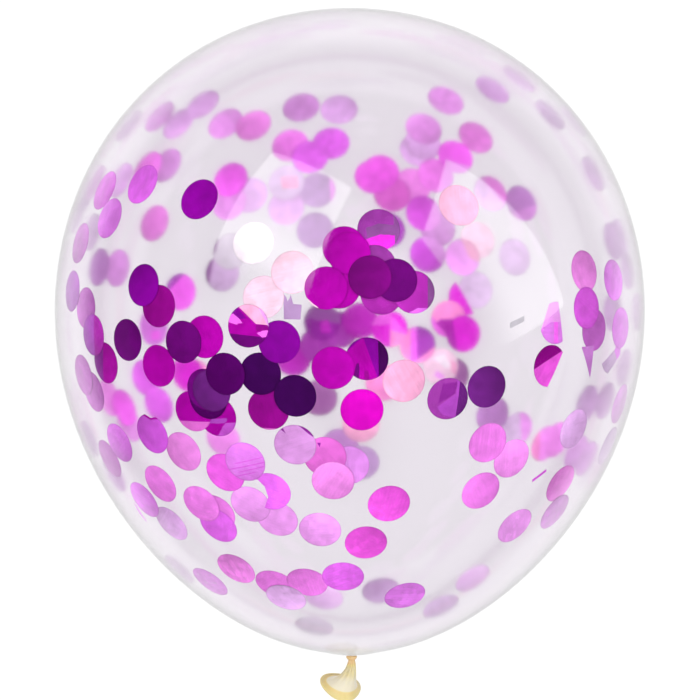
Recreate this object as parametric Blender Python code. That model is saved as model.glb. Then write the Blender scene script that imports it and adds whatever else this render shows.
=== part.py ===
"""A large round latex balloon, blown up and tied at the neck, lying on its side.

Metres, +Z up. The long axis runs along Y, with the crown at +Y and the tied neck at -Y. The balloon
rests on a small flat spot in its underside, and the origin is the middle of that spot. It is sealed,
so its body is solid. Past the knot the neck is open again: a short trumpet with its own wall, bent
down towards the floor, that ends in the rolled lip.
"""

import math

import bmesh
import bpy
from mathutils import Matrix, Vector

# Blown-up body. The outline is an ellipse whose half-width is multiplied by a cubic in u, which runs
# from -1 at the neck to +1 at the crown.
BALLOON_WIDTH = 0.440
BODY_LENGTH = 0.483
CROWN_FULLNESS = 0.068
END_TAPER = 0.036
CROWN_SQUARENESS = 0.032

# Thicker latex round the neck, which the pressure stretches less and pushes out a little
SHOULDER_WIDTH = 0.046
SHOULDER_RISE = 0.0013

# Flat spot that the balloon settles on
REST_SPOT_WIDTH = 0.060

# Knot, and the neck that it pinches shut. The first power below 1 moves the knot's fullest part
# towards the body, and the second makes it blunt.
KNOT_WIDTH = 0.0082
KNOT_LENGTH = 0.0034
KNOT_LEAN = 0.6
KNOT_BLUNTNESS = 0.7
WAIST_WIDTH = 0.0050

# Open neck past the knot
NECK_WALL = 0.0004
NECK_FLARE = 1.5
PINCHED_LENGTH = 0.0040
PLEATS = 8
PLEAT_DEPTH = 0.16
PLEAT_ONSET = 0.1
LIP_WIDTH = 0.0312
LIP_ROLL = 0.0030

# Soft lip's shape: a circle pulled into three blunt corners, the first at this angle round the lip
LIP_CORNERS = 3
CORNER_PULL = 0.06
CORNER_ANGLE = math.radians(77)

# Where the lip's centre lies from the end of the knot, and how far its opening is turned from the
# long axis towards the floor, and aside
LIP_BEYOND = 0.0203
LIP_ASIDE = -0.0081
LIP_DROP = -0.0062
LIP_TURN = math.radians(33)
LIP_TWIST = math.radians(18)

# Clear natural latex
LATEX_COLOUR = (0.86, 0.82, 0.88, 1)
LATEX_ROUGHNESS = 0.12

# Facets
SIDES = 64
BODY_RINGS = 36
KNOT_RINGS = 6
NECK_RINGS = 9
LIP_RINGS = 11
OUTLINE_STEPS = 500
SHARP_EDGE = math.radians(40)
SEAM = 1e-6

TOWARDS_NECK = Vector((0, -1, 0))
REST_DEPTH = BALLOON_WIDTH / 2 - math.sqrt((BALLOON_WIDTH / 2) ** 2 - (REST_SPOT_WIDTH / 2) ** 2)
AXIS_HEIGHT = BALLOON_WIDTH / 2 - REST_DEPTH


def outline(u):
    """Half-width at u, as a share that isn't yet scaled to the balloon's width."""
    fullness = 1 + CROWN_FULLNESS * u - END_TAPER * u**2 + CROWN_SQUARENESS * u**3
    return math.sqrt(max(0, 1 - u * u)) * fullness


def smooth(t):
    """Rises from 0 to 1 with level ends."""
    t = min(max(t, 0), 1)
    return t * t * (3 - 2 * t)


def widest():
    """Where the outline is widest, and its half-width there as a share."""
    steps = [i / OUTLINE_STEPS for i in range(-OUTLINE_STEPS, OUTLINE_STEPS + 1)]
    u = max(steps, key=outline)
    return u, outline(u)


BELT, BELT_SHARE = widest()
HALF_BODY = (BODY_LENGTH - SHOULDER_RISE) / 2
KNOT_START = -HALF_BODY * (1 + BELT) - SHOULDER_RISE
KNOT_END = KNOT_START - KNOT_LENGTH
LIP_RADIUS = (LIP_WIDTH - LIP_ROLL) / 2
LIP_CENTRE = Vector((LIP_ASIDE, -LIP_BEYOND, LIP_DROP))
NECK_LENGTH = LIP_CENTRE.length


def body_profile():
    """Points (y, radius) from the crown to the knot. y is 0 at the widest belt, over the flat spot."""
    points = []
    for i in range(BODY_RINGS + 1):
        u = math.cos(math.pi * i / BODY_RINGS)
        radius = BALLOON_WIDTH / 2 * outline(u) / BELT_SHARE
        rise = SHOULDER_RISE * max(0, 1 - (2 * radius / SHOULDER_WIDTH) ** 2) if u < 0 else 0
        if u > 0 or radius > KNOT_WIDTH / 2:
            points.append((HALF_BODY * (u - BELT) - rise, radius))
    return points


def knot_profile():
    """The pinched neck's knot: fullest just under the body, and tapered to the waist."""
    points = []
    for i in range(KNOT_RINGS + 1):
        t = i / KNOT_RINGS
        swell = math.sin(math.pi * t**KNOT_LEAN) ** KNOT_BLUNTNESS if 0 < t < 1 else 0
        points.append((KNOT_START - KNOT_LENGTH * t, (WAIST_WIDTH + (KNOT_WIDTH - WAIST_WIDTH) * swell) / 2))
    return points


def neck_radius(t):
    """Radius of the middle of the neck's wall at t, from 0 at the knot to 1 at the lip."""
    start = (WAIST_WIDTH - NECK_WALL) / 2
    return start + (LIP_RADIUS - start) * t**NECK_FLARE


def neck_profile():
    """The trumpet outside, the rolled lip, and the trumpet inside down to where the knot pinches it."""
    roll = LIP_ROLL / 2
    end = 1 - LIP_ROLL / NECK_LENGTH
    pinched = PINCHED_LENGTH / NECK_LENGTH
    slope = math.atan2(LIP_RADIUS - neck_radius(end), (1 - end) * NECK_LENGTH)
    half_wall = NECK_WALL / 2 / math.cos(slope)
    outside = [end * (i + 1) / NECK_RINGS for i in range(NECK_RINGS)]
    inside = [pinched + (end - pinched) * i / (NECK_RINGS - 2) for i in range(NECK_RINGS - 1)]
    points = [(KNOT_END - NECK_LENGTH * t, neck_radius(t) + half_wall) for t in outside]
    gap = math.asin(NECK_WALL / LIP_ROLL)
    for i in range(LIP_RINGS + 1):
        angle = math.pi - slope - gap - (2 * math.pi - 2 * gap) * i / LIP_RINGS
        along = roll * math.cos(angle)
        points.append((KNOT_END - NECK_LENGTH - along, LIP_RADIUS + roll * math.sin(angle)))
    points += [(KNOT_END - NECK_LENGTH * t, neck_radius(t) - half_wall) for t in reversed(inside)]
    points.append((KNOT_END - NECK_LENGTH * pinched, 0))
    return points


def turned(profile):
    """A mesh turned round the Y axis from profile, closed at its two poles."""
    bm = bmesh.new()
    rim = [bm.verts.new((0, y, radius)) for y, radius in profile]
    edges = [bm.edges.new(pair) for pair in zip(rim, rim[1:])]
    bmesh.ops.spin(
        bm,
        geom=rim + edges,
        cent=(0, 0, 0),
        axis=(0, 1, 0),
        angle=2 * math.pi,
        steps=SIDES,
        use_merge=True,
    )
    bmesh.ops.remove_doubles(bm, verts=bm.verts[:], dist=SEAM)
    return bm


def pleat(bm):
    """Gathers the neck into folds that are deepest at the waist and gone at the lip."""
    for v in bm.verts:
        t = (KNOT_END - v.co.y) / NECK_LENGTH
        if 0 < t < 1:
            depth = PLEAT_DEPTH * smooth(t / PLEAT_ONSET) * (1 - t) ** 2
            fold = 1 + depth * math.cos(PLEATS * math.atan2(v.co.x, v.co.z))
            v.co.x *= fold
            v.co.z *= fold


def bend_neck(bm):
    """Bends the straight neck along a curve, so that the lip opens down and aside."""
    opening = Matrix.Rotation(-LIP_TWIST, 3, "Z") @ Vector((0, -math.cos(LIP_TURN), -math.sin(LIP_TURN)))
    axis = TOWARDS_NECK.cross(opening).normalized()
    turn = TOWARDS_NECK.angle(opening)
    start = Vector((0, KNOT_END, 0))
    end = start + LIP_CENTRE
    curve = [start, start + TOWARDS_NECK * NECK_LENGTH / 2, end - opening * NECK_LENGTH / 4, end]
    for v in bm.verts:
        along = KNOT_END - v.co.y
        if along <= 0:
            continue
        t = min(along / NECK_LENGTH, 1)
        share = [(1 - t) ** 3, 3 * t * (1 - t) ** 2, 3 * t * t * (1 - t), t**3]
        centre = sum((point * weight for point, weight in zip(curve, share)), Vector())
        past_end = along - NECK_LENGTH * t
        pull = 1 + CORNER_PULL * t * t * math.cos(LIP_CORNERS * (math.atan2(v.co.z, v.co.x) - CORNER_ANGLE))
        across = Vector((v.co.x * pull, -past_end, v.co.z * pull))
        v.co = centre + Matrix.Rotation(turn * t * t, 3, axis) @ across


def flatten_underside(bm):
    """Lifts the balloon to its height over the floor and cuts the flat spot that it rests on."""
    bmesh.ops.translate(bm, verts=bm.verts[:], vec=(0, 0, AXIS_HEIGHT))
    cut = bmesh.ops.bisect_plane(
        bm,
        geom=bm.verts[:] + bm.edges[:] + bm.faces[:],
        dist=SEAM,
        plane_co=(0, 0, 0),
        plane_no=(0, 0, -1),
        clear_outer=True,
    )
    rim = [e for e in cut["geom_cut"] if isinstance(e, bmesh.types.BMEdge)]
    bmesh.ops.edgeloop_fill(bm, edges=rim)
    for edge in rim:
        for v in edge.verts:
            v.co.z = 0


def latex_material():
    """Clear natural latex: slightly milky, with a soft shine."""
    material = bpy.data.materials.new("clear_natural_latex")
    material.use_nodes = True
    shader = material.node_tree.nodes["Principled BSDF"]
    shader.inputs["Base Color"].default_value = LATEX_COLOUR
    shader.inputs["Roughness"].default_value = LATEX_ROUGHNESS
    shader.inputs["Metallic"].default_value = 0
    return material


def latex_balloon():
    bm = turned(body_profile() + knot_profile() + neck_profile())
    pleat(bm)
    bend_neck(bm)
    flatten_underside(bm)
    bmesh.ops.recalc_face_normals(bm, faces=bm.faces[:])
    mesh = bpy.data.meshes.new("latex_balloon")
    bm.to_mesh(mesh)
    bm.free()
    mesh.shade_smooth()
    mesh.set_sharp_from_angle(angle=SHARP_EDGE)
    mesh.materials.append(latex_material())
    balloon = bpy.data.objects.new("latex_balloon", mesh)
    bpy.context.scene.collection.objects.link(balloon)
    return balloon


for thing in list(bpy.data.objects):
    bpy.data.objects.remove(thing)
latex_balloon()
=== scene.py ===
"""Looks of the giant confetti balloon: a clear latex balloon with pink foil confetti sealed inside.

Metres, +Z up. The balloon lies on its side, its crown at +Y and its tied neck at -Y, and the camera
looks straight down on it. The CAD solid is replaced by the thin film of the body and the thicker neck.
"""

import math
import random

import bpy
from mathutils import Matrix, Vector


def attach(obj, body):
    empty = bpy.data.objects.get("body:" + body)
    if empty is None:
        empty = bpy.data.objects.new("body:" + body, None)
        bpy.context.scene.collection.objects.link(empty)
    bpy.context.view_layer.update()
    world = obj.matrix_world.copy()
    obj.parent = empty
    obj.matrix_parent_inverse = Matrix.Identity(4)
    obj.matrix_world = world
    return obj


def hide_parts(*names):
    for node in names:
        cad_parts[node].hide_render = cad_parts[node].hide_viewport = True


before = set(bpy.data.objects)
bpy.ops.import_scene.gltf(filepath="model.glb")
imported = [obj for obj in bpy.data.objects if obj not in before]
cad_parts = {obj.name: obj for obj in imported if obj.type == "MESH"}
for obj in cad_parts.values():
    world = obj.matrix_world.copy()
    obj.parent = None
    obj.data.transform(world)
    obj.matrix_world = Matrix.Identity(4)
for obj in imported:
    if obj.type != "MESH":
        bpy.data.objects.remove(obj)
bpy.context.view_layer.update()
bpy.ops.object.select_all(action="DESELECT")

MM = 0.001

# Camera, straight above the balloon. The photograph is 700 pixels square, and one pixel spans
# 0.7471 mm at a plane that lies 2.64 m below the camera.
PHOTO_WIDTH = 700
PIXEL_SPAN = 0.7471 * MM
PIXEL_PLANE = 2.64
CAMERA_AT = Vector((0, -0.0293, 2.86))
CAMERA_ROLL = math.radians(-0.3)
SENSOR_WIDTH = 36

# Blown-up body, as the CAD solid has it
BALLOON_WIDTH = 0.440
BODY_LENGTH = 0.483
CROWN_FULLNESS = 0.068
END_TAPER = 0.036
CROWN_SQUARENESS = 0.032
OUTLINE_STEPS = 500
SHOULDER_WIDTH = 0.046
SHOULDER_RISE = 0.0013
REST_SPOT_WIDTH = 0.060

# Knot and neck, as the CAD solid has them. The first power below 1 moves the knot's fullest part
# towards the body, and the second makes it blunt.
KNOT_WIDTH = 0.0082
KNOT_LENGTH = 0.0034
KNOT_LEAN = 0.6
KNOT_BLUNTNESS = 0.7
WAIST_WIDTH = 0.0050
NECK_WALL = 0.0004
NECK_FLARE = 1.5
PINCHED_LENGTH = 0.0040
PLEATS = 8
PLEAT_DEPTH = 0.16
PLEAT_ONSET = 0.1
LIP_WIDTH = 0.0312
LIP_ROLL = 0.0030
LIP_CORNERS = 3
CORNER_PULL = 0.06
CORNER_ANGLE = math.radians(77)
LIP_BEYOND = 0.0203
LIP_ASIDE = -0.0081
LIP_DROP = -0.0062
LIP_TURN = math.radians(33)
LIP_TWIST = math.radians(18)

# Walls of the film and of the thicker latex inside it. Past the blend, a share of the neck's length,
# the neck's own wall thickens into the roll.
FILM_WALL = 0.28 * MM
SHOULDER_WALL = 0.30 * MM
SHOULDER_GAP = 0.45 * MM
ROLL_BLEND = 0.86

# How finely the meshes are cut, how close points are merged, and from which angle edges stay sharp
FILM_SIDES = 128
FILM_RINGS = 88
NECK_SIDES = 96
KNOT_RINGS = 10
NECK_RINGS = 26
LIP_RINGS = 20
MERGE_GAP = 0.02 * MM
SHARP_LATEX = math.radians(50)
SHARP_FOIL = math.radians(40)

TOWARDS_NECK = Vector((0, -1, 0))
REST_DEPTH = BALLOON_WIDTH / 2 - math.sqrt((BALLOON_WIDTH / 2) ** 2 - (REST_SPOT_WIDTH / 2) ** 2)
AXIS_HEIGHT = BALLOON_WIDTH / 2 - REST_DEPTH
BODY_CENTRE = Vector((0, 0, AXIS_HEIGHT))

# Foil confetti: its shape, the gaps that keep the discs off the film and off each other, how closely
# the wall is found, and which way along the camera's rays each side lies
DISC_WIDTH = 0.030
DISC_SIDES = 28
EDGE_WIDTH = 0.9 * MM
RING_WIDTH = 6 * MM
FOIL_THICKNESS = 0.08 * MM
FOIL_GAP = 0.12 * MM
LAYER_STEP = 0.30 * MM
FOLD_GAP = 0.40 * MM
MOST_CURL = 0.2 * MM
SEAM = 0.005 * MM
WALL_HALVINGS = 24
PROBE_REACH = DISC_WIDTH / 4
NEAR_SIDE = -1
FAR_SIDE = 1

# How a disc's tone varies: from disc to disc, across one disc as a painted sheen brighter on one side, and at
# its die-cut edge
TONE_STRENGTH = (0.95, 1.05)
PAINTED_SHEEN_FADE = (0.06, 0.24)
EDGE_SHADE = 0.74

# Faint lines of the rolled foil and dents from handling: their spans, their heights, and the shares by which
# they lighten and darken the tone, a painted sheen and shade of how they catch the light
LINE_SPAN = 1.2 * MM
LINE_LENGTH = 30 * MM
LINE_HEIGHT = 0.02 * MM
LINE_SHADE = 0.05
DENT_SPAN = 9 * MM
DENT_HEIGHT = 0.4 * MM
DENT_SHADE = 0.09

# The middle of a noise's range, which holds most of its values
NOISE_LOW = 0.35
NOISE_HIGH = 0.65

# Latex: how it bends light, and the clouds in the slack part's tone
LATEX_IOR = 1.519
CLOUD_SPAN = 4 * MM
CLOUD_SHARE = 0.2


def outline(u):
    """Half-width at u, from -1 at the neck to +1 at the crown, before it is scaled to the width."""
    fullness = 1 + CROWN_FULLNESS * u - END_TAPER * u**2 + CROWN_SQUARENESS * u**3
    return math.sqrt(max(0, 1 - u * u)) * fullness


def widest():
    """Where the outline is widest, and its half-width there as a share."""
    steps = [i / OUTLINE_STEPS for i in range(-OUTLINE_STEPS, OUTLINE_STEPS + 1)]
    u = max(steps, key=outline)
    return u, outline(u)


BELT, BELT_SHARE = widest()


def body_radius(u):
    """Half-width of the blown-up body at u, in metres."""
    return BALLOON_WIDTH / 2 * outline(u) / BELT_SHARE


HALF_BODY = (BODY_LENGTH - SHOULDER_RISE) / 2
KNOT_START = -HALF_BODY * (1 + BELT) - SHOULDER_RISE
KNOT_END = KNOT_START - KNOT_LENGTH
LIP_RADIUS = (LIP_WIDTH - LIP_ROLL) / 2
LIP_CENTRE = Vector((LIP_ASIDE, -LIP_BEYOND, LIP_DROP))
NECK_LENGTH = LIP_CENTRE.length

# How thick the slack latex looks. A gauge is 1 at the knot, and a place is a share of the neck's length. At
# the lip's foot a higher gauge is painted shade of the crevice between the roll and the trumpet.
PINCHED_TO = 0.35
CONE_GAUGE = 0.35
CONE_FADES_FROM = 0.35
CONE_FADES_TO = 0.65
CREVICE_SHADE_GAUGE = 0.80
LIP_GAUGE = 0.65
LIP_SHOWS_FROM = 0.835
LIP_SHOWS_FULLY = 0.865
CREVICE_SHADE_FROM = 0.86
CREVICE_SHADE_TO = 0.90


def smooth(t):
    """Rises from 0 to 1 with level ends."""
    t = min(max(t, 0), 1)
    return t * t * (3 - 2 * t)


def rise_between(t, start, end):
    """Rises smoothly from 0 at start to 1 at end."""
    return smooth((t - start) / (end - start))


def latex_gauge(t):
    """How thick the slack latex looks at t, from 0 at the knot to 1 at the lip, with painted shade at the
    foot of the lip.
    """
    pinched = 1 - smooth(t / PINCHED_TO)
    cone = CONE_GAUGE * (1 - rise_between(t, CONE_FADES_FROM, CONE_FADES_TO))
    # Painted shade: the lip is darker at its foot, in the crevice by the trumpet
    lip = CREVICE_SHADE_GAUGE + (LIP_GAUGE - CREVICE_SHADE_GAUGE) * rise_between(t, CREVICE_SHADE_FROM, CREVICE_SHADE_TO)
    return max(pinched, cone, lip * rise_between(t, LIP_SHOWS_FROM, LIP_SHOWS_FULLY))


def linear(hex_colour):
    """Linear colour with full alpha from an sRGB hex value such as #FF8000."""
    channels = [int(hex_colour[i : i + 2], 16) / 255 for i in (1, 3, 5)]
    return [c / 12.92 if c <= 0.04045 else ((c + 0.055) / 1.055) ** 2.4 for c in channels] + [1]


# Materials


def add_node(tree, kind, inputs=None, **settings):
    """Adds a node with its settings. An input that is given a socket is linked, and others are set."""
    made = tree.nodes.new(kind)
    for name, value in settings.items():
        setattr(made, name, value)
    for name, value in (inputs or {}).items():
        if isinstance(value, bpy.types.NodeSocket):
            tree.links.new(value, made.inputs[name])
        else:
            made.inputs[name].default_value = value
    return made


def new_material(name):
    material = bpy.data.materials.new(name)
    material.use_nodes = True
    tree = material.node_tree
    return material, tree, tree.nodes["Principled BSDF"]


def film_material():
    """Clear natural latex, dipped and stretched thin: see-through, faintly lilac, and hardly hazy."""
    material, _, shader = new_material("stretched_clear_latex")
    shader.inputs["Base Color"].default_value = linear("#FBF8FC")
    shader.inputs["Roughness"].default_value = 0.06
    shader.inputs["IOR"].default_value = LATEX_IOR
    shader.inputs["Transmission Weight"].default_value = 1
    return material


def neck_material():
    """Slack natural latex: amber where it is thick at the knot and lip, and cream where it is thin.

    The attribute latex_gauge says how thick it looks, from 0 at the trumpet's wide end to 1 at the
    knot, with painted shade in the crevice at the lip's foot, and slight clouds come from the dipping.
    """
    material, tree, shader = new_material("slack_natural_latex")
    gauge = add_node(tree, "ShaderNodeAttribute", attribute_name="latex_gauge")
    place = add_node(tree, "ShaderNodeTexCoord")
    clouds = add_node(
        tree,
        "ShaderNodeTexNoise",
        {"Vector": place.outputs["Object"], "Scale": 1 / CLOUD_SPAN},
    )
    uneven = add_node(
        tree,
        "ShaderNodeMath",
        {0: clouds.outputs["Fac"], 1: CLOUD_SHARE, 2: gauge.outputs["Fac"]},
        operation="MULTIPLY_ADD",
    )
    colour = add_node(tree, "ShaderNodeValToRGB", {"Fac": uneven.outputs["Value"]})
    thin, thick = colour.color_ramp.elements
    thin.position = 0.1
    thin.color = linear("#B6B0A0")
    thick.position = 1
    thick.color = linear("#BCA074")
    cone = colour.color_ramp.elements.new(0.45)
    cone.color = linear("#B6AA84")
    lip = colour.color_ramp.elements.new(0.8)
    lip.color = linear("#B9AB76")
    tree.links.new(colour.outputs["Color"], shader.inputs["Base Color"])
    shader.inputs["Roughness"].default_value = 0.35
    shader.inputs["IOR"].default_value = LATEX_IOR
    shader.inputs["Subsurface Weight"].default_value = 0.6
    shader.inputs["Subsurface Radius"].default_value = (1, 0.8, 0.5)
    shader.inputs["Subsurface Scale"].default_value = 3 * MM
    return material


def shoulder_material():
    """Clear natural latex that the air has hardly stretched: see-through, and creamy from its thickness.

    It is one with the film outside it, so it only tints and neither bends nor mirrors light.
    """
    material, _, shader = new_material("thick_clear_latex")
    shader.inputs["Base Color"].default_value = linear("#F8F6E2")
    shader.inputs["Roughness"].default_value = 0
    shader.inputs["IOR"].default_value = 1
    shader.inputs["Transmission Weight"].default_value = 1
    return material


def foil_material():
    """Metallised polyester foil, die-cut into discs: coloured lacquer over bright metal.

    Each disc carries its colour in the attribute foil_tone: its lacquer's colour, with painted light and
    shade in it.
    Its own flat coordinates are in foil_place. The rolled film gives faint lengthwise lines, drawn farther
    apart than they are so that they show, and handling gives shallow dents; both lighten and darken the tone
    as painted sheen and shade.
    """
    material, tree, shader = new_material("metallised_polyester_foil")
    tone = add_node(tree, "ShaderNodeAttribute", attribute_name="foil_tone")
    place = add_node(tree, "ShaderNodeAttribute", attribute_name="foil_place")
    along_roll = add_node(
        tree,
        "ShaderNodeMapping",
        {"Vector": place.outputs["Vector"], "Scale": (1 / LINE_SPAN, 1 / LINE_LENGTH, 1)},
    )
    lines = add_node(tree, "ShaderNodeTexNoise", {"Vector": along_roll.outputs["Vector"], "Scale": 1})
    dents = add_node(tree, "ShaderNodeTexNoise", {"Vector": place.outputs["Vector"], "Scale": 1 / DENT_SPAN})
    shades = []
    for noise, share in ((lines, LINE_SHADE), (dents, DENT_SHADE)):
        shade = add_node(
            tree,
            "ShaderNodeMapRange",
            {
                "Value": noise.outputs["Fac"],
                "From Min": NOISE_LOW,
                "From Max": NOISE_HIGH,
                "To Min": 1 - share,
                "To Max": 1 + share,
            },
        )
        shades.append(shade.outputs["Result"])
    shading = add_node(tree, "ShaderNodeMath", {0: shades[0], 1: shades[1]}, operation="MULTIPLY")
    toned = add_node(
        tree,
        "ShaderNodeVectorMath",
        {0: tone.outputs["Color"], 1: shading.outputs["Value"]},
        operation="MULTIPLY",
    )
    dent_bump = add_node(tree, "ShaderNodeBump", {"Height": dents.outputs["Fac"], "Distance": DENT_HEIGHT})
    bump = add_node(
        tree,
        "ShaderNodeBump",
        {"Height": lines.outputs["Fac"], "Distance": LINE_HEIGHT, "Normal": dent_bump.outputs["Normal"]},
    )
    tree.links.new(toned.outputs["Vector"], shader.inputs["Base Color"])
    tree.links.new(bump.outputs["Normal"], shader.inputs["Normal"])
    shader.inputs["Metallic"].default_value = 0.4
    shader.inputs["Roughness"].default_value = 0.3
    shader.inputs["Specular IOR Level"].default_value = 0.15
    return material


# Film and neck


def film_profile():
    """Points (y, radius) of the body's outside, from the crown to inside the knot."""
    points = []
    for i in range(FILM_RINGS + 1):
        u = math.cos(math.pi * i / FILM_RINGS)
        radius = body_radius(u)
        rise = SHOULDER_RISE * max(0, 1 - (2 * radius / SHOULDER_WIDTH) ** 2) if u < 0 else 0
        if u > 0 or radius > WAIST_WIDTH / 2:
            points.append((HALF_BODY * (u - BELT) - rise, radius))
    points.append((KNOT_START, 0))
    return points


def knot_profile():
    """The pinched neck's knot: fullest just under the body, and tapered to the waist."""
    points = []
    for i in range(KNOT_RINGS + 1):
        t = i / KNOT_RINGS
        swell = math.sin(math.pi * t**KNOT_LEAN) ** KNOT_BLUNTNESS if 0 < t < 1 else 0
        points.append((KNOT_START - KNOT_LENGTH * t, (WAIST_WIDTH + (KNOT_WIDTH - WAIST_WIDTH) * swell) / 2))
    return points


def neck_radius(t):
    """Radius of the middle of the neck's wall at t, from 0 at the knot to 1 at the lip."""
    start = (WAIST_WIDTH - NECK_WALL) / 2
    return start + (LIP_RADIUS - start) * t**NECK_FLARE


def neck_profile():
    """The trumpet outside, the rolled lip, and the trumpet inside down to where the knot pinches it.

    Inside, the wall thickens smoothly into the roll, which is rolled outwards.
    """
    roll = LIP_ROLL / 2
    end = 1 - LIP_ROLL / NECK_LENGTH
    pinched = PINCHED_LENGTH / NECK_LENGTH
    slope = math.atan2(LIP_RADIUS - neck_radius(end), (1 - end) * NECK_LENGTH)
    half_wall = NECK_WALL / 2 / math.cos(slope)
    outside = [end * (i + 1) / NECK_RINGS for i in range(NECK_RINGS)]
    inside = [pinched + (1 - pinched) * i / NECK_RINGS for i in range(NECK_RINGS)]
    points = [(KNOT_END - NECK_LENGTH * t, neck_radius(t) + half_wall) for t in outside]
    gap = math.asin(NECK_WALL / LIP_ROLL)
    for i in range(LIP_RINGS + 1):
        angle = math.pi - slope - gap - (1.5 * math.pi - 2 * slope - gap) * i / LIP_RINGS
        along = roll * math.cos(angle)
        points.append((KNOT_END - NECK_LENGTH - along, LIP_RADIUS + roll * math.sin(angle)))
    for t in reversed(inside):
        thickened = half_wall + (roll - half_wall) * smooth((t - ROLL_BLEND) / (1 - ROLL_BLEND))
        points.append((KNOT_END - NECK_LENGTH * t, neck_radius(t) - thickened))
    points.append((KNOT_END - NECK_LENGTH * pinched, 0))
    return points


def turn_profile(name, profile, sides):
    """A shape turned round the balloon's long axis, from a profile of points (y, radius)."""
    bpy.ops.mesh.primitive_plane_add(size=MM, location=(0, 0, 0))
    turned = bpy.context.object
    turned.name = name
    bpy.ops.object.mode_set(mode="EDIT")
    bpy.ops.mesh.merge(type="CENTER")
    at = Vector((0, 0, 0))
    for y, radius in profile:
        step = Vector((0, y, radius)) - at
        at += step
        if (y, radius) == profile[0]:
            bpy.ops.transform.translate(value=step)
        else:
            bpy.ops.mesh.extrude_vertices_move(TRANSFORM_OT_translate={"value": step})
    bpy.ops.mesh.select_all(action="SELECT")
    bpy.ops.mesh.spin(steps=sides, angle=2 * math.pi, center=(0, 0, 0), axis=(0, 1, 0))
    bpy.ops.mesh.select_all(action="SELECT")
    bpy.ops.mesh.remove_doubles(threshold=MERGE_GAP)
    bpy.ops.mesh.normals_make_consistent(inside=False)
    bpy.ops.transform.translate(value=(0, 0, AXIS_HEIGHT))
    bpy.ops.object.mode_set(mode="OBJECT")
    return turned


def select_where(mesh_object, wanted):
    """In edit mode, selects only the points whose place is wanted."""
    bpy.ops.mesh.select_all(action="DESELECT")
    bpy.ops.object.mode_set(mode="OBJECT")
    for vertex in mesh_object.data.vertices:
        vertex.select = wanted(vertex.co)
    bpy.ops.object.mode_set(mode="EDIT")


def flatten_underside(turned):
    """Presses the flat spot that the balloon rests on into its underside."""
    bpy.ops.object.mode_set(mode="EDIT")
    bpy.ops.mesh.select_all(action="SELECT")
    bpy.ops.mesh.bisect(plane_co=(0, 0, 0), plane_no=(0, 0, 1))
    select_where(turned, lambda place: place.z < 0)
    bpy.ops.transform.resize(value=(1, 1, 0), center_override=(0, 0, 0))
    bpy.ops.object.mode_set(mode="OBJECT")


def settle(piece, material):
    """Puts a finished piece's place into its mesh, gives it its material and ties it to the frame."""
    bpy.ops.object.select_all(action="DESELECT")
    piece.select_set(True)
    bpy.context.view_layer.objects.active = piece
    bpy.ops.object.transform_apply(location=True, rotation=True, scale=True)
    piece.data.materials.clear()
    piece.data.materials.append(material)
    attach(piece, "root")


def thicken(surface, thickness):
    """Gives the active object, a bare surface, its wall on the side that its faces turn away from."""
    wall = surface.modifiers.new("wall", "SOLIDIFY")
    wall.thickness = thickness
    wall.offset = -1
    bpy.ops.object.modifier_apply(modifier=wall.name)


def make_film():
    """The body's film: turned, flattened where it rests, and given its wall."""
    film = turn_profile("latex_film", film_profile(), FILM_SIDES)
    flatten_underside(film)
    thicken(film, FILM_WALL)
    bpy.ops.object.shade_smooth()
    settle(film, film_material())
    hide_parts("latex_balloon")
    film.visible_shadow = False
    film.visible_diffuse = False


def make_shoulder():
    """The thicker latex inside the film round the neck, where the balloon is hardly stretched."""
    outside = [(y, radius) for y, radius in film_profile() if y < 0 and radius < SHOULDER_WIDTH / 2]
    profile = [(y + SHOULDER_GAP, radius) for y, radius in outside]
    shoulder = turn_profile("thick_shoulder", profile, NECK_SIDES)
    thicken(shoulder, SHOULDER_WALL)
    bpy.ops.object.shade_smooth()
    settle(shoulder, shoulder_material())
    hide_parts("latex_balloon")
    shoulder.visible_shadow = False


def bend_neck(neck):
    """Pleats the neck past the knot and bends it, so that the lip opens down and aside."""
    opening = Matrix.Rotation(-LIP_TWIST, 3, "Z") @ Vector((0, -math.cos(LIP_TURN), -math.sin(LIP_TURN)))
    axis = TOWARDS_NECK.cross(opening).normalized()
    turn = TOWARDS_NECK.angle(opening)
    start = BODY_CENTRE + Vector((0, KNOT_END, 0))
    end = start + LIP_CENTRE
    curve = [start, start + TOWARDS_NECK * NECK_LENGTH / 2, end - opening * NECK_LENGTH / 4, end]
    gauge = neck.data.attributes.new("latex_gauge", "FLOAT", "POINT")
    for v in neck.data.vertices:
        across = v.co - BODY_CENTRE
        along = KNOT_END - across.y
        t = min(max(along, 0) / NECK_LENGTH, 1)
        gauge.data[v.index].value = latex_gauge(t)
        if along <= 0:
            continue
        depth = PLEAT_DEPTH * smooth(t / PLEAT_ONSET) * (1 - t) ** 2
        fold = 1 + depth * math.cos(PLEATS * math.atan2(across.x, across.z))
        corner = LIP_CORNERS * (math.atan2(across.z, across.x) - CORNER_ANGLE)
        pull = 1 + CORNER_PULL * t * t * math.cos(corner)
        share = [(1 - t) ** 3, 3 * t * (1 - t) ** 2, 3 * t * t * (1 - t), t**3]
        centre = sum((point * weight for point, weight in zip(curve, share)), Vector())
        past_end = along - NECK_LENGTH * t
        ring = Vector((across.x * fold * pull, -past_end, across.z * fold * pull))
        v.co = centre + Matrix.Rotation(turn * t * t, 3, axis) @ ring


def make_neck():
    """Knot, waist, pleated trumpet and rolled lip, all of one slack piece of latex."""
    neck = turn_profile("neck_and_lip", [(KNOT_START, 0)] + knot_profile() + neck_profile(), NECK_SIDES)
    bend_neck(neck)
    bpy.ops.object.shade_smooth_by_angle(angle=SHARP_LATEX)
    settle(neck, neck_material())
    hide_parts("latex_balloon")
    neck.visible_glossy = False
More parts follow.
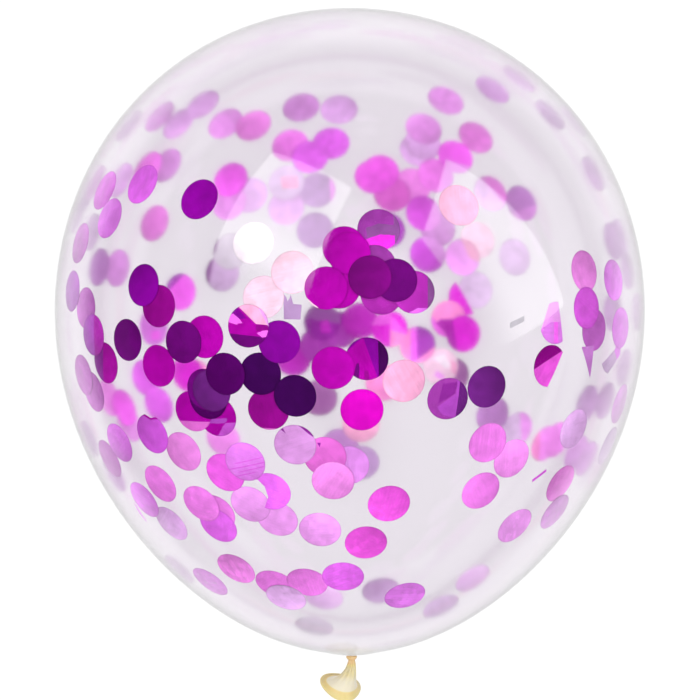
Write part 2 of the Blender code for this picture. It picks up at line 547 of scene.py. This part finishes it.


# Confetti


# Apparent colours of the foil, from dark to pale, with light and shade painted in: the darkest stand for
# lacquered faces that mirror the dark room overhead, the palest for foil under the film's highlights and near
# its rim, where the film's reflection veils it, and silver for a bare back
FOILS = {
    "soot": "#3C0250",
    "ink": "#430352",
    "eggplant": "#520060",
    "plum": "#6A0574",
    "mulberry": "#780678",
    "smoke": "#6A227C",
    "violet": "#860298",
    "royal_violet": "#9604A6",
    "berry": "#920688",
    "grape": "#8E2A98",
    "dusk": "#8C4F95",
    "mauve": "#A23EA8",
    "amethyst": "#B44BC4",
    "peony": "#B42EB2",
    "thistle": "#A266A4",
    "wisteria": "#C28CCC",
    "magenta": "#AE02A4",
    "bright_magenta": "#DC06C4",
    "deep_pink": "#E632DC",
    "fuchsia": "#DE60E2",
    "hot_rose": "#DA6ACC",
    "hot_pink": "#F468EC",
    "pink": "#FF70FA",
    "bright_orchid": "#F486EE",
    "heliotrope": "#EC70F4",
    "candy_pink": "#EC5ADE",
    "carnation": "#FF9CFA",
    "salmon": "#FF96DA",
    "rose": "#EC8CE4",
    "orchid": "#E482EC",
    "cattleya": "#CC58D6",
    "light_orchid": "#F4A4F6",
    "lilac": "#DA9ADF",
    "mallow": "#D488DC",
    "dusty_orchid": "#C268C6",
    "pale_orchid": "#EAB8F2",
    "smoky_lilac": "#BC98C8",
    "mist": "#D2B3DA",
    "pale_mist": "#E2C8EA",
    "pearl": "#F8D4FE",
    "blush": "#FCB2D8",
    "pale_pink": "#FCD8EC",
    "shell_pink": "#FCCCE2",
    "haze": "#DCD4E0",
    "frost": "#FFF2FC",
    "silver": "#B8B4BC",
}

# Discs on the near wall, by the pixel of the photograph at each one's centre. Where two overlap, the
# one that comes first shows on top.
NEAR_DISCS = [
    ("soot", [(295, 396)]),
    ("eggplant", [(225, 374)]),
    ("smoke", [(487, 387)]),
    ("mauve", [(448, 399)]),
    ("magenta", [(248, 326), (326, 288), (333, 368), (367, 359)]),
    ("berry", [(550, 366)]),
    ("violet", [(143, 285), (279, 342)]),
    ("royal_violet", [(199, 199)]),
    ("mulberry", [(370, 277)]),
    ("berry", [(158, 306)]),
    ("plum", [(127, 340), (183, 342), (396, 280)]),
    ("soot", [(260, 374)]),
    ("smoke", [(211, 391)]),
    ("plum", [(205, 390)]),
    ("eggplant", [(207, 399)]),
    ("magenta", [(192, 412), (216, 417), (204, 337), (158, 366)]),
    ("berry", [(268, 410)]),
    ("magenta", [(349, 253), (344, 247), (339, 287)]),
    ("mauve", [(375, 266)]),
    ("bright_magenta", [(362, 410)]),
    ("light_orchid", [(556, 323)]),
    ("mallow", [(590, 361)]),
    ("amethyst", [(93, 335)]),
    ("cattleya", [(152, 434)]),
    ("peony", [(414, 292)]),
    ("mauve", [(379, 229)]),
    ("grape", [(105, 363)]),
    ("peony", [(382, 293)]),
    ("blush", [(404, 381), (459, 205)]),
    ("frost", [(253, 243)]),
    ("shell_pink", [(292, 272)]),
    ("pale_pink", [(263, 297)]),
    ("smoky_lilac", [(293, 306)]),
    ("fuchsia", [(587, 308)]),
    ("dusty_orchid", [(595, 330)]),
    ("heliotrope", [(142, 184)]),
    ("orchid", [(109, 218)]),
    ("rose", [(585, 271)]),
    ("orchid", [(119, 443)]),
    ("fuchsia", [(104, 190)]),
    ("dusty_orchid", [(80, 243)]),
    ("amethyst", [(72, 291)]),
    ("dusty_orchid", [(109, 459)]),
    ("orchid", [(144, 500)]),
    ("pale_orchid", [(171, 524)]),
    ("orchid", [(614, 280), (621, 328)]),
    ("dusty_orchid", [(85, 308), (83, 375), (93, 392)]),
    ("light_orchid", [(515, 526)]),
    ("lilac", [(555, 512), (210, 582)]),
    ("pale_orchid", [(574, 429)]),
    ("rose", [(561, 484)]),
    ("mist", [(147, 512)]),
    ("lilac", [(620, 404)]),
    ("mist", [(608, 446), (612, 353)]),
    ("silver", [(518, 322)]),
    ("fuchsia", [(538, 477)]),
    ("orchid", [(245, 462)]),
    ("rose", [(183, 452)]),
    ("bright_orchid", [(160, 484), (201, 504)]),
    ("rose", [(236, 569)]),
    ("heliotrope", [(218, 526), (343, 577)]),
    ("bright_orchid", [(216, 513)]),
    ("heliotrope", [(270, 492)]),
    ("candy_pink", [(389, 504), (366, 543)]),
    ("hot_pink", [(225, 473)]),
    ("bright_orchid", [(488, 443)]),
    ("rose", [(333, 481)]),
    ("carnation", [(512, 459)]),
    ("bright_orchid", [(481, 491)]),
    ("light_orchid", [(250, 505), (320, 530)]),
    ("orchid", [(405, 596)]),
    ("pale_orchid", [(286, 598)]),
    ("light_orchid", [(277, 520)]),
    ("bright_orchid", [(307, 583), (275, 585)]),
    ("lilac", [(295, 445)]),
    ("hot_rose", [(325, 457)]),
    ("mallow", [(348, 466)]),
]

# Discs on the far wall, given the same way
FAR_DISCS = [
    ("pink", [(230, 179), (123, 408)]),
    ("carnation", [(108, 398)]),
    ("pink", [(180, 292)]),
    ("hot_pink", [(390, 329)]),
    ("deep_pink", [(464, 334)]),
    ("salmon", [(449, 319), (418, 345)]),
    ("deep_pink", [(187, 374)]),
    ("salmon", [(196, 378)]),
    ("pink", [(456, 156)]),
    ("hot_pink", [(373, 176)]),
    ("bright_orchid", [(436, 175)]),
    ("heliotrope", [(158, 405), (310, 156)]),
    ("fuchsia", [(424, 213)]),
    ("cattleya", [(428, 254)]),
    ("deep_pink", [(466, 297)]),
    ("salmon", [(384, 383)]),
    ("blush", [(361, 425)]),
    ("bright_orchid", [(290, 145)]),
    ("heliotrope", [(331, 143)]),
    ("rose", [(253, 125)]),
    ("light_orchid", [(225, 123)]),
    ("lilac", [(301, 107)]),
    ("rose", [(476, 137)]),
    ("light_orchid", [(424, 128), (446, 100)]),
    ("hot_pink", [(381, 171)]),
    ("hot_rose", [(392, 194)]),
    ("carnation", [(223, 439)]),
    ("heliotrope", [(145, 378)]),
    ("bright_orchid", [(147, 168)]),
    ("light_orchid", [(229, 202)]),
    ("pale_orchid", [(202, 104), (178, 123)]),
    ("lilac", [(159, 116)]),
    ("pale_orchid", [(339, 109)]),
    ("lilac", [(166, 165)]),
    ("rose", [(154, 223)]),
    ("wisteria", [(98, 267)]),
    ("lilac", [(117, 268)]),
    ("pale_orchid", [(423, 143), (418, 150)]),
    ("light_orchid", [(129, 424)]),
    ("carnation", [(546, 444), (557, 440)]),
    ("pale_pink", [(441, 367)]),
    ("orchid", [(153, 327)]),
    ("wisteria", [(493, 415)]),
    ("mist", [(588, 404)]),
    ("smoky_lilac", [(361, 463)]),
    ("thistle", [(452, 376)]),
    ("rose", [(413, 185)]),
    ("lilac", [(438, 228)]),
    ("pale_orchid", [(493, 89), (250, 195)]),
    ("light_orchid", [(463, 257)]),
    ("pale_mist", [(286, 182), (515, 257)]),
    ("pearl", [(491, 193)]),
    ("haze", [(230, 251)]),
    ("pale_orchid", [(286, 207)]),
    ("pale_pink", [(478, 240)]),
    ("grape", [(322, 322)]),
    ("peony", [(360, 321)]),
    ("mauve", [(340, 330), (318, 345)]),
    ("peony", [(293, 358)]),
    ("amethyst", [(387, 230)]),
    ("thistle", [(319, 398)]),
    ("wisteria", [(340, 446), (522, 203)]),
    ("smoky_lilac", [(317, 190)]),
    ("mist", [(222, 273)]),
    ("smoky_lilac", [(315, 230)]),
    ("pale_mist", [(476, 290)]),
    ("mist", [(381, 591)]),
    ("pale_mist", [(517, 430)]),
    ("wisteria", [(114, 475)]),
    ("pale_orchid", [(120, 180)]),
    ("lilac", [(94, 182)]),
    ("smoky_lilac", [(86, 195)]),
    ("mist", [(77, 215), (91, 232)]),
    ("smoky_lilac", [(89, 439)]),
    ("mist", [(179, 570)]),
    ("haze", [(314, 627)]),
    ("pearl", [(324, 598)]),
    ("pale_mist", [(441, 607)]),
    ("pearl", [(473, 579)]),
    ("pale_orchid", [(577, 453), (587, 459)]),
    ("mist", [(606, 401), (625, 368), (638, 312), (614, 241), (621, 237), (628, 270), (613, 312)]),
    ("mist", [(594, 173), (575, 120), (551, 114)]),
    ("pale_mist", [(520, 78)]),
    ("mist", [(128, 125)]),
]


def patch(tone, *corners):
    """A part of a disc with a closed outline, whose corners run clockwise on the photograph."""
    return tone, [*corners, corners[0]]


def painted_wrinkle_shade(tone, left, right):
    """A line one pixel wide from its left end to its right end, for painted shade along a wrinkle."""
    return patch(tone, left, right, (right[0], right[1] + 1), (left[0], left[1] + 1))


# What has happened to single discs, by the pixel at their centre: for each crease, what shows past it and the
# pixels that it runs through. Past a crease is what lies to the right of every stretch of it. That part shows
# another tone, is folded under or is cut away. The other tones are painted light and shade: facets of
# crumpled foil that catch brighter and darker light, dark lines in crinkles, and the paler parts of discs
# that lie under the film's highlights.
CREASES = {
    (248, 326): [
        ("plum", [(226, 333), (272, 338)]),
        patch("berry", (256, 325), (270, 325), (270, 331), (256, 331)),
        ("blush", [(274, 325), (256, 324), (236, 304)]),
        ("light_orchid", [(266, 322), (256, 303)]),
        patch("violet", (230, 312), (236, 306), (246, 318), (240, 320)),
        patch("pink", (226, 314), (234, 314), (242, 322), (238, 325), (228, 322)),
        patch("pink", (256, 333), (268, 330), (268, 335), (262, 338)),
    ],
    (367, 359): [
        ("violet", [(374, 368), (364, 340)]),
        ("violet", [(364, 336), (346, 352)]),
        ("ink", [(379, 384), (378, 338)]),
        patch("plum", (356, 364), (359, 364), (359, 380), (353, 380)),
        patch("berry", (365, 368), (368, 368), (370, 382), (364, 382)),
    ],
    (550, 366): [
        ("candy_pink", [(528, 372), (545, 362), (566, 346)]),
        ("folded", [(547, 388), (563, 352)]),
    ],
    (556, 323): [
        ("orchid", [(538, 331), (551, 322), (564, 322)]),
        patch("pink", (554, 322), (558, 322), (558, 343), (554, 343)),
        ("folded", [(563, 345), (558, 300)]),
        ("cut", [(549, 304), (540, 333)]),
    ],
    (590, 361): [
        ("cut", [(581, 345), (590, 378)]),
        ("cut", [(590, 378), (594, 344)]),
        ("cut", [(600, 345), (578, 347)]),
    ],
    (518, 322): [
        ("cut", [(524, 316), (509, 323)]),
        ("cut", [(511, 328), (525, 321)]),
        ("cut", [(510, 300), (510, 340)]),
        ("cut", [(524, 340), (524, 300)]),
    ],
    (538, 477): [
        ("cut", [(545, 470), (529, 482)]),
        ("cut", [(531, 483), (547, 471)]),
        ("cut", [(532, 460), (532, 490)]),
        ("cut", [(546, 490), (546, 460)]),
    ],
    (147, 512): [
        ("orchid", [(150, 536), (128, 496)]),
        ("cut", [(152, 530), (141, 514), (130, 496)]),
    ],
    (612, 353): [
        ("orchid", [(620, 372), (611, 340)]),
        ("cut", [(619, 345), (615, 350), (608, 368)]),
        ("cut", [(612, 368), (622, 352)]),
    ],
    (270, 492): [
        ("cut", [(245, 479), (257, 480), (265, 488), (268, 497), (265, 505), (262, 512)]),
    ],
    (152, 434): [
        ("cut", [(168, 415), (151, 418), (138, 410)]),
        ("magenta", [(168, 417), (151, 420), (136, 411)]),
    ],
    (448, 399): [
        patch("grape", (443, 384), (458, 382), (455, 394), (438, 404)),
        patch("amethyst", (456, 394), (454, 418), (442, 415), (437, 407)),
        ("smoke", [(454, 422), (460, 376)]),
        patch("amethyst", (458, 376), (461, 376), (455, 422), (453, 422)),
    ],
    (230, 251): [
        ("dusk", [(220, 235), (211, 268)]),
    ],
    (286, 182): [
        patch("blush", (281, 177), (297, 176), (298, 187), (282, 188)),
    ],
    (93, 335): [
        ("peony", [(96, 365), (94, 312)]),
    ],
    (105, 363): [
        ("magenta", [(104, 390), (103, 345)]),
    ],
    (192, 412): [
        ("hot_rose", [(165, 420), (235, 423)]),
    ],
    (216, 417): [
        ("cattleya", [(190, 425), (224, 424), (229, 415)]),
        patch("amethyst", (196, 420), (226, 419), (224, 424), (198, 424)),
    ],
    (268, 410): [
        ("hot_rose", [(245, 427), (292, 430)]),
    ],
    (326, 288): [
        patch("pale_pink", (306, 297), (318, 308), (316, 312), (302, 300)),
    ],
    (293, 306): [
        ("cut", [(299, 335), (303, 290)]),
        ("cut", [(270, 319), (320, 320)]),
        ("cut", [(283, 280), (284, 335)]),
        ("cut", [(315, 306), (294, 304), (290, 295)]),
        ("cut", [(291, 295), (287, 302), (284, 294)]),
    ],
    (322, 322): [
        patch("dusk", (298, 300), (350, 300), (350, 325), (304, 318)),
        patch("peony", (320, 322), (328, 320), (331, 332), (321, 333)),
    ],
    (340, 330): [
        patch("grape", (322, 310), (350, 310), (350, 326), (330, 324)),
    ],
    (153, 327): [
        patch("pink", (151, 331), (160, 331), (160, 340), (151, 340)),
    ],
    (546, 444): [
        ("salmon", [(541, 420), (538, 470)]),
    ],
    (441, 367): [
        patch("frost", (434, 358), (445, 354), (451, 366), (446, 369)),
        patch("blush", (451, 360), (457, 362), (457, 376), (452, 373)),
        patch("light_orchid", (436, 370), (446, 376), (443, 381), (434, 376)),
    ],
    (295, 445): [
        patch("grape", (299, 423), (313, 434), (311, 436), (298, 425)),
        patch("grape", (281, 427), (286, 431), (285, 433), (279, 429)),
    ],
    (325, 457): [
        patch("grape", (316, 443), (322, 443), (319, 447)),
    ],
    (317, 190): [
        ("light_orchid", [(331, 215), (329, 165)]),
    ],
    (517, 430): [
        ("light_orchid", [(522, 455), (519, 405)]),
    ],
    (379, 229): [
        patch("dusk", (366, 228), (378, 223), (394, 224), (396, 234), (368, 240)),
        ("deep_pink", [(362, 240), (380, 234), (400, 235)]),
        ("dusk", [(396, 250), (394, 220)]),
    ],
    (414, 292): [
        ("heliotrope", [(394, 307), (418, 308), (432, 300)]),
        ("dusk", [(428, 300), (428, 284)]),
    ],
    (418, 345): [
        ("pink", [(411, 366), (411, 324)]),
        ("amethyst", [(417, 366), (417, 324)]),
        ("salmon", [(416, 361), (436, 346)]),
    ],
    (390, 329): [
        ("deep_pink", [(408, 334), (386, 309)]),
        ("deep_pink", [(368, 326), (390, 324), (390, 352)]),
        ("salmon", [(390, 352), (391, 330), (410, 336)]),
    ],
    (449, 319): [
        ("hot_pink", [(430, 314), (452, 341)]),
        patch("peony", (436, 323), (441, 319), (460, 319), (462, 342), (451, 338)),
    ],
    (464, 334): [
        ("peony", [(452, 316), (459, 358)]),
    ],
    (180, 292): [
        ("amethyst", [(186, 272), (164, 296)]),
    ],
    (424, 213): [
        ("light_orchid", [(423, 235), (437, 195)]),
    ],
    (436, 175): [
        ("light_orchid", [(436, 203), (447, 157)]),
    ],
    (456, 156): [
        ("light_orchid", [(446, 176), (446, 159), (478, 169)]),
    ],
    (428, 254): [
        ("lilac", [(444, 268), (422, 238)]),
    ],
    (466, 297): [
        ("cut", [(478, 321), (452, 275)]),
    ],
    (463, 257): [
        ("blush", [(480, 262), (470, 258), (461, 238)]),
    ],
    (491, 193): [
        ("rose", [(510, 209), (482, 179)]),
    ],
    (245, 462): [
        painted_wrinkle_shade("fuchsia", (236, 463), (262, 457)),
        painted_wrinkle_shade("fuchsia", (229, 469), (268, 461)),
        painted_wrinkle_shade("fuchsia", (238, 472), (264, 466)),
        painted_wrinkle_shade("fuchsia", (231, 477), (254, 472)),
    ],
    (522, 203): [
        ("lilac", [(508, 214), (542, 203)]),
    ],
    (222, 273): [
        ("dusk", [(215, 252), (208, 288)]),
    ],
}


def pixel_ray(pixel):
    """Direction from the camera through a pixel of the photograph."""
    across = (pixel[0] - PHOTO_WIDTH / 2) * PIXEL_SPAN
    up = (PHOTO_WIDTH / 2 - pixel[1]) * PIXEL_SPAN
    return (Matrix.Rotation(CAMERA_ROLL, 3, "Z") @ Vector((across, up, -PIXEL_PLANE))).normalized()


def is_inside(point, clearance):
    """Whether a point is inside the body, at least that far from its outside."""
    u = point.y / HALF_BODY + BELT
    if abs(u) >= 1 or point.z < clearance:
        return False
    return math.hypot(point.x, point.z - AXIS_HEIGHT) < body_radius(u) - clearance


def reach_wall(start, way, clearance):
    """The point at that clearance from the outside that is met on a way from a start inside the body."""
    near = 0
    far = BODY_LENGTH
    for _ in range(WALL_HALVINGS):
        half = (near + far) / 2
        if is_inside(start + way * half, clearance):
            near = half
        else:
            far = half
    return start + way * near


def wall_under(pixel, side):
    """The point of the film's inner face that a pixel shows, on the near or the far side."""
    ray = pixel_ray(pixel)
    middle = CAMERA_AT + ray * (BODY_CENTRE - CAMERA_AT).dot(ray)
    return reach_wall(middle, ray * side, FILM_WALL)


def out_of_wall(point):
    """The way straight out of the balloon at a point of its wall."""
    arm = point - BODY_CENTRE
    side = arm.orthogonal().normalized()
    other = arm.cross(side).normalized()
    probes = []
    for way in (side, other, -side, -other):
        towards = (arm + way * PROBE_REACH).normalized()
        probes.append(reach_wall(BODY_CENTRE, towards, 0))
    out = (probes[0] - probes[2]).cross(probes[1] - probes[3]).normalized()
    return out if out.dot(arm) > 0 else -out


def disc_template():
    """A flat foil disc, 30 mm across, with a narrow edge and inner faces that let it curve."""
    bpy.ops.mesh.primitive_circle_add(vertices=DISC_SIDES, radius=DISC_WIDTH / 2, fill_type="NGON")
    disc = bpy.context.object
    disc.name = "foil_disc"
    bpy.ops.object.mode_set(mode="EDIT")
    bpy.ops.mesh.select_all(action="SELECT")
    bpy.ops.mesh.inset(thickness=EDGE_WIDTH)
    bpy.ops.mesh.inset(thickness=RING_WIDTH)
    bpy.ops.mesh.poke()
    bpy.ops.object.mode_set(mode="OBJECT")
    return disc


def is_past(place, crease):
    """Whether a flat place lies to the right of every stretch of a crease."""
    for start, end in zip(crease, crease[1:]):
        way = end - start
        reach = place - start
        if way.y * reach.x - way.x * reach.y < SEAM * way.length:
            return False
    return True


def crease_disc(disc, creases):
    """Cuts a flat disc's faces along its creases, and takes away what is cut off it."""
    bpy.ops.object.select_all(action="DESELECT")
    disc.select_set(True)
    bpy.context.view_layer.objects.active = disc
    bpy.ops.object.mode_set(mode="EDIT")
    bpy.ops.mesh.select_mode(type="FACE")
    for _, crease in creases:
        for start, end in zip(crease, crease[1:]):
            way = end - start
            bpy.ops.mesh.select_all(action="SELECT")
            bpy.ops.mesh.bisect(plane_co=(start.x, start.y, 0), plane_no=(way.y, -way.x, 0), threshold=SEAM)
    bpy.ops.mesh.select_all(action="DESELECT")
    bpy.ops.object.mode_set(mode="OBJECT")
    cuts = [crease for tone, crease in creases if tone == "cut"]
    for face in disc.data.polygons:
        face.select = any(is_past(face.center.xy, crease) for crease in cuts)
    if any(face.select for face in disc.data.polygons):
        bpy.ops.object.mode_set(mode="EDIT")
        bpy.ops.mesh.delete(type="FACE")
        bpy.ops.object.mode_set(mode="OBJECT")


def random_way(most_turn):
    """A random direction across a disc, scaled so that its dot product with a rim point is up to 1."""
    return Matrix.Rotation(random.uniform(0, most_turn), 2) @ Vector((2 / DISC_WIDTH, 0))


def tint_disc(disc, tone, creases):
    """Gives each part of a flat disc its tone and its own coordinates.

    The tone drifts a little across the disc, a painted sheen that is brighter on one side, and is darker at
    the die-cut edge.
    """
    strength = random.uniform(*TONE_STRENGTH)
    fade = random.uniform(*PAINTED_SHEEN_FADE)
    painted_sheen_way = random_way(2 * math.pi)
    tints = disc.data.attributes.new("foil_tone", "FLOAT_COLOR", "CORNER")
    for face in disc.data.polygons:
        shown = tone
        for name, crease in creases:
            if name in FOILS and is_past(face.center.xy, crease):
                shown = name
        colour = Vector(linear(FOILS[shown])[:3]) * strength
        for corner in face.loop_indices:
            place = disc.data.vertices[disc.data.loops[corner].vertex_index].co.xy
            edge = EDGE_SHADE if place.length > DISC_WIDTH / 2 - EDGE_WIDTH / 2 else 1
            tints.data[corner].color = (*(colour * edge * (1 + fade * painted_sheen_way.dot(place))), 1)
    places = disc.data.attributes.new("foil_place", "FLOAT_VECTOR", "POINT")
    cut_at = Vector((random.uniform(0, 1), random.uniform(0, 1), 0))
    roll_way = Matrix.Rotation(random.uniform(-0.5, 0.5) * math.pi, 3, "Z")
    for vertex in disc.data.vertices:
        places.data[vertex.index].vector = roll_way @ vertex.co + cut_at


def lay_disc(template, pixel, side, layer, tone):
    """A copy of the disc laid along the wall that a pixel shows, that many layers in from the film."""
    disc = template.copy()
    disc.data = template.data.copy()
    bpy.context.collection.objects.link(disc)
    at = wall_under(pixel, side)
    facing = out_of_wall(at) * -side
    up = (Vector((0, 1, 0)) - facing * facing.y).normalized()
    across = up.cross(facing)
    creases = []
    for kind, pixels in CREASES.get(pixel, []):
        arms = [wall_under(spot, side) - at for spot in pixels]
        creases.append((kind, [Vector((arm.dot(across), arm.dot(up))) for arm in arms]))
    if creases:
        crease_disc(disc, creases)
    tint_disc(disc, tone, creases)
    depth = FILM_WALL + FOIL_GAP + layer * LAYER_STEP
    curl = random.uniform(0, MOST_CURL)
    curled = random_way(math.pi)
    for v in disc.data.vertices:
        flat = v.co.xy
        sunk = depth
        for kind, crease in creases:
            if kind == "folded" and is_past(flat, crease):
                normal = Vector((crease[1].y - crease[0].y, crease[0].x - crease[1].x)).normalized()
                flat = flat - normal * 2 * (flat - crease[0]).dot(normal)
                sunk += FOLD_GAP
        sunk += curl * curled.dot(flat) ** 2
        arm = at + across * flat.x + up * flat.y - BODY_CENTRE
        v.co = reach_wall(BODY_CENTRE, arm.normalized(), sunk)
    return disc


def join_discs(name, discs, material):
    """Joins discs into one piece and gives their foil its thickness."""
    bpy.ops.object.select_all(action="DESELECT")
    for disc in discs:
        disc.select_set(True)
    bpy.context.view_layer.objects.active = discs[0]
    bpy.ops.object.join()
    joined = bpy.context.object
    joined.name = name
    thicken(joined, FOIL_THICKNESS)
    bpy.ops.object.shade_smooth_by_angle(angle=SHARP_FOIL)
    settle(joined, material)


def make_confetti():
    """All the discs, laid on the two walls and joined into one piece for each tone of foil."""
    random.seed(7)
    template = disc_template()
    foil = foil_material()
    pieces = {}
    for side, rows in ((NEAR_SIDE, NEAR_DISCS), (FAR_SIDE, FAR_DISCS)):
        order = [(tone, pixel) for tone, pixels in rows for pixel in pixels]
        if side == FAR_SIDE:
            order.reverse()
        laid = []
        for tone, pixel in order:
            at = wall_under(pixel, side)
            below = [layer for other, layer in laid if (other - at).length < DISC_WIDTH]
            layer = max(below, default=-1) + 1
            laid.append((at, layer))
            pieces.setdefault(tone, []).append(lay_disc(template, pixel, side, layer, tone))
    for tone, discs in pieces.items():
        join_discs(f"confetti_{tone}", discs, foil)
    bpy.data.objects.remove(template)


# Studio

FLOOR_WIDTH = 12
FLOOR_GAP = 0.4 * MM
FILL_STRENGTH = 3.5
FILL_SPREAD = math.radians(120)
FILL_HEIGHT = 2
SOFTBOX_DISTANCE = 1.2

# Corners of the two softboxes, which stand at a slant, in metres in their own planes
LEFT_SOFTBOX = [(-0.18, 0.54), (0.48, 0.34), (0.28, -0.53), (-0.58, -0.35)]
RIGHT_SOFTBOX = [(-0.09, 0.74), (0.71, -0.31), (-0.06, -0.63), (-0.57, 0.19)]


def make_camera():
    data = bpy.data.cameras.new("camera")
    data.sensor_width = SENSOR_WIDTH
    data.lens = SENSOR_WIDTH * PIXEL_PLANE / (PHOTO_WIDTH * PIXEL_SPAN)
    data.clip_start = 0.05
    camera = bpy.data.objects.new("camera", data)
    camera.location = CAMERA_AT
    camera.rotation_euler = (0, 0, CAMERA_ROLL)
    bpy.context.scene.collection.objects.link(camera)
    bpy.context.scene.camera = camera


def radial_glow(tree, centre, inner, outer, near, far):
    """Strength that falls from near to far between two distances from a centre."""
    place = add_node(tree, "ShaderNodeTexCoord")
    reach = add_node(
        tree,
        "ShaderNodeVectorMath",
        {0: place.outputs["Object"], 1: centre},
        operation="DISTANCE",
    )
    glow = add_node(
        tree,
        "ShaderNodeMapRange",
        {
            "Value": reach.outputs["Value"],
            "From Min": inner,
            "From Max": outer,
            "To Min": near,
            "To Max": far,
        },
        interpolation_type="SMOOTHSTEP",
    )
    return glow.outputs["Result"]


def unless_mirrored(tree, straight, mirrored):
    """One value for light that comes straight, and another for light mirrored on its way."""
    path = add_node(tree, "ShaderNodeLightPath")
    value = add_node(
        tree,
        "ShaderNodeMapRange",
        {"Value": path.outputs["Glossy Depth"], "To Min": straight, "To Max": mirrored},
    )
    return value.outputs["Result"]


def make_floor():
    """A plain pale floor, lit from within round the balloon so that it is white under it.

    The film mirrors only the floor close to it, so that the foil near the film keeps its deep colours,
    and more of it beyond the crown than beyond the neck.
    """
    bpy.ops.mesh.primitive_plane_add(size=FLOOR_WIDTH, location=(0, 0, -FLOOR_GAP))
    floor = bpy.context.object
    floor.name = "pale_floor"
    material, tree, shader = new_material("white_acrylic")
    lit = radial_glow(tree, (0, 0, 0), inner=0.44, outer=0.95, near=0.765, far=0.53)
    mirrored = radial_glow(tree, (0, 0.08, 0), inner=0.50, outer=0.98, near=0.92, far=0)
    shader.inputs["Roughness"].default_value = 0.9
    shader.inputs["Specular IOR Level"].default_value = 0
    shader.inputs["Emission Color"].default_value = (1, 1, 1, 1)
    tree.links.new(unless_mirrored(tree, straight=0.15, mirrored=0.02), shader.inputs["Base Color"])
    tree.links.new(unless_mirrored(tree, straight=lit, mirrored=mirrored), shader.inputs["Emission Strength"])
    floor.data.materials.append(material)


def make_softbox(name, corners, towards, radiance, fade):
    """A softbox that faces the balloon's middle from a direction. It only makes reflections.

    Its corners are in its own plane, from the top left, clockwise as the balloon sees them. Its lower
    edge is dark, and it reaches its full radiance at the height of fade over the lower edge.
    """
    bpy.ops.mesh.primitive_plane_add(size=1, location=(0, 0, 0))
    lamp = bpy.context.object
    lamp.name = name
    way = Vector(towards).normalized()
    up = (Vector((0, 1, 0)) - way * way.y).normalized()
    across = up.cross(way)
    middle = BODY_CENTRE + way * SOFTBOX_DISTANCE
    bottom_left, bottom_right, top_left, top_right = lamp.data.vertices
    for vertex, (x, y) in zip((top_left, top_right, bottom_right, bottom_left), corners):
        vertex.co = middle + across * x + up * y
    lowest = (bottom_left.co + bottom_right.co) / 2
    rise = (top_left.co + top_right.co) / 2 - lowest
    material = bpy.data.materials.new(f"{name}_cloth")
    material.use_nodes = True
    material.cycles.emission_sampling = "NONE"
    tree = material.node_tree
    tree.nodes.clear()
    place = add_node(tree, "ShaderNodeTexCoord")
    height = add_node(
        tree,
        "ShaderNodeVectorMath",
        {0: place.outputs["Object"], 1: rise.normalized()},
        operation="DOT_PRODUCT",
    )
    foot = lowest.dot(rise.normalized())
    ramp = add_node(
        tree,
        "ShaderNodeMapRange",
        {"Value": height.outputs["Value"], "From Min": foot, "From Max": foot + fade, "To Max": radiance},
        interpolation_type="SMOOTHSTEP",
    )
    glow = add_node(tree, "ShaderNodeEmission", {"Strength": ramp.outputs["Result"]})
    add_node(tree, "ShaderNodeOutputMaterial", {"Surface": glow.outputs["Emission"]})
    lamp.data.materials.append(material)
    lamp.visible_camera = False
    lamp.visible_transmission = False
    lamp.visible_diffuse = False
    lamp.visible_shadow = False


def make_fill():
    """Soft light from all round overhead that makes no reflections."""
    data = bpy.data.lights.new("overhead_fill", "SUN")
    data.energy = FILL_STRENGTH
    data.angle = FILL_SPREAD
    lamp = bpy.data.objects.new("overhead_fill", data)
    lamp.location = (0, 0, FILL_HEIGHT)
    lamp.visible_glossy = False
    lamp.visible_transmission = False
    bpy.context.scene.collection.objects.link(lamp)


def make_world():
    world = bpy.data.worlds.new("pale_studio")
    bpy.context.scene.world = world
    world.use_nodes = True
    background = world.node_tree.nodes["Background"]
    background.inputs["Color"].default_value = (1, 1, 1, 1)
    strength = unless_mirrored(world.node_tree, straight=1, mirrored=0)
    world.node_tree.links.new(strength, background.inputs["Strength"])


def make_studio():
    make_camera()
    make_floor()
    make_world()
    make_fill()
    make_softbox("left_softbox", LEFT_SOFTBOX, (-0.399, 0.459, 0.794), radiance=3.5, fade=0.30)
    make_softbox("right_softbox", RIGHT_SOFTBOX, (0.774, 0.273, 0.571), radiance=3.0, fade=0.35)
    bpy.context.scene.view_settings.view_transform = "Standard"


make_studio()
make_film()
make_shoulder()
make_neck()
make_confetti()
